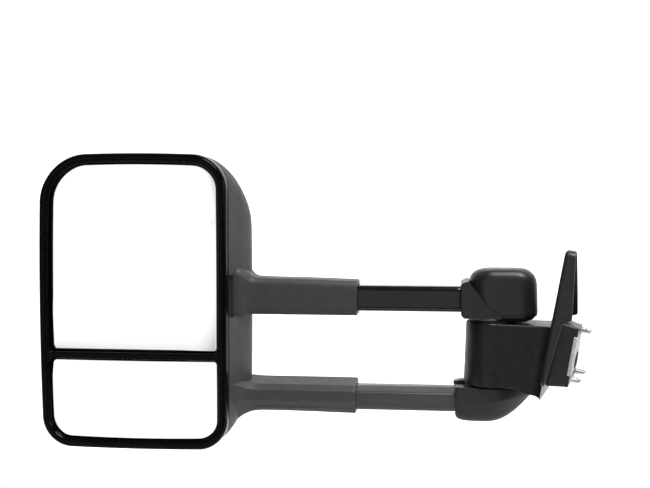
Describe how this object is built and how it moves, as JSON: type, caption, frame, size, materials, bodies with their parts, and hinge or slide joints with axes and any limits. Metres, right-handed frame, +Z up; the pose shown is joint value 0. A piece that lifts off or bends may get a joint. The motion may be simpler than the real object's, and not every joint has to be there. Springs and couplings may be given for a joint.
{
  "type": "towing mirror",
  "caption": "Door-mounted extending towing mirror with a folding twin-tube arm, a sliding head, a flat glass and a convex spotter glass.",
  "frame": {"origin": "centre of the circle of door studs, on the door mounting face", "axes": "+X inboard towards the vehicle, +Y towards the front of the vehicle, +Z up; the glasses face -Y"},
  "size_m": [0.5151, 0.092, 0.2766],
  "materials": {
    "textured_black": "fine grained",
    "satin_black": "satin",
    "cast_black": "semi-gloss powder coat",
    "gloss_black": "high gloss",
    "tube_gloss": "gloss black",
    "tube_satin": "satin black",
    "mirror_glass": "silvered",
    "tray_black": "moulded",
    "bearing_plastic": "acetal",
    "zinc_steel": "zinc plated",
    "spring_steel": "oiled",
    "cast_zinc": "as cast",
    "gasket_foam": "closed-cell foam",
    "grommet_rubber": "soft"
  },
  "bodies": {
    "door_base": {"door_bracket": "cast_black", "mounting_block": "satin_black", "sail_cover": "satin_black", "door_gasket": "gasket_foam", "door_studs": "zinc_steel", "harness_grommet": "grommet_rubber", "pivot_bushes": "bearing_plastic", "thrust_washers": "tray_black"},
    "arm": {"hinge_pin": "zinc_steel", "lower_knuckle": "satin_black", "upper_knuckle": "cast_zinc", "pivot_cap": "satin_black", "spring_seat": "zinc_steel", "pivot_spring": "spring_steel", "spring_washer": "zinc_steel", "pivot_nut": "zinc_steel", "upper_tube": "tube_gloss", "lower_tube": "tube_satin", "upper_tube_plug": "bearing_plastic", "lower_tube_plug": "bearing_plastic", "tube_screws": "zinc_steel"},
    "head": {"rear_cover": "textured_black", "bezel": "gloss_black", "chassis": "tray_black", "upper_sleeve": "textured_black", "lower_sleeve": "textured_black", "sleeve_bushes": "tray_black", "detent_springs": "spring_steel", "actuator_housing": "tray_black", "actuator_cover": "tray_black", "actuator_motors": "zinc_steel", "cover_screws": "zinc_steel", "sleeve_screws": "zinc_steel"},
    "upper_gimbal": {"actuator_gimbal": "bearing_plastic"},
    "upper_mirror": {"upper_glass": "mirror_glass", "upper_glass_holder": "tray_black"},
    "yaw_jack": {"yaw_plunger": "bearing_plastic"},
    "pitch_jack": {"pitch_plunger": "bearing_plastic"},
    "lower_pivot": {"lower_gimbal": "bearing_plastic"},
    "lower_mirror": {"lower_glass": "mirror_glass", "lower_glass_holder": "tray_black"}
  },
  "joints": [
    {"name": "fold", "type": "hinge", "parent": "door_base", "child": "arm", "pos_m": [-0.0776, -0.0008, 0.0018], "axis": [0, 0, 1], "range_deg": [-60, 75]},
    {"name": "extend", "type": "slide", "parent": "arm", "child": "head", "axis": [1, 0, 0], "range_m": [0, 0.088]},
    {"name": "upper_yaw", "type": "hinge", "parent": "head", "child": "upper_gimbal", "pos_m": [-0.4102, -0.0308, 0.09535], "axis": [0, 0, 1], "range_deg": [-6, 6]},
    {"name": "upper_pitch", "type": "hinge", "parent": "upper_gimbal", "child": "upper_mirror", "pos_m": [-0.4102, -0.0308, 0.09535], "axis": [1, 0, 0], "range_deg": [-6, 6]},
    {"name": "yaw_jack_slide", "type": "slide", "parent": "head", "child": "yaw_jack", "axis": [0, 1, 0], "range_m": [-0.0026, 0.0026]},
    {"name": "pitch_jack_slide", "type": "slide", "parent": "head", "child": "pitch_jack", "axis": [0, 1, 0], "range_m": [-0.0018, 0.0018]},
    {"name": "lower_yaw", "type": "hinge", "parent": "head", "child": "lower_pivot", "pos_m": [-0.4102, -0.0308, -0.03755], "axis": [0, 0, 1], "range_deg": [-6, 6]},
    {"name": "lower_pitch", "type": "hinge", "parent": "lower_pivot", "child": "lower_mirror", "pos_m": [-0.4102, -0.0308, -0.03755], "axis": [1, 0, 0], "range_deg": [-6, 6]}
  ],
  "couplings": [
    {"joint": "yaw_jack_slide", "follows": "upper_yaw", "m_per_rad": 0.024},
    {"joint": "pitch_jack_slide", "follows": "upper_pitch", "m_per_rad": 0.016}
  ]
}
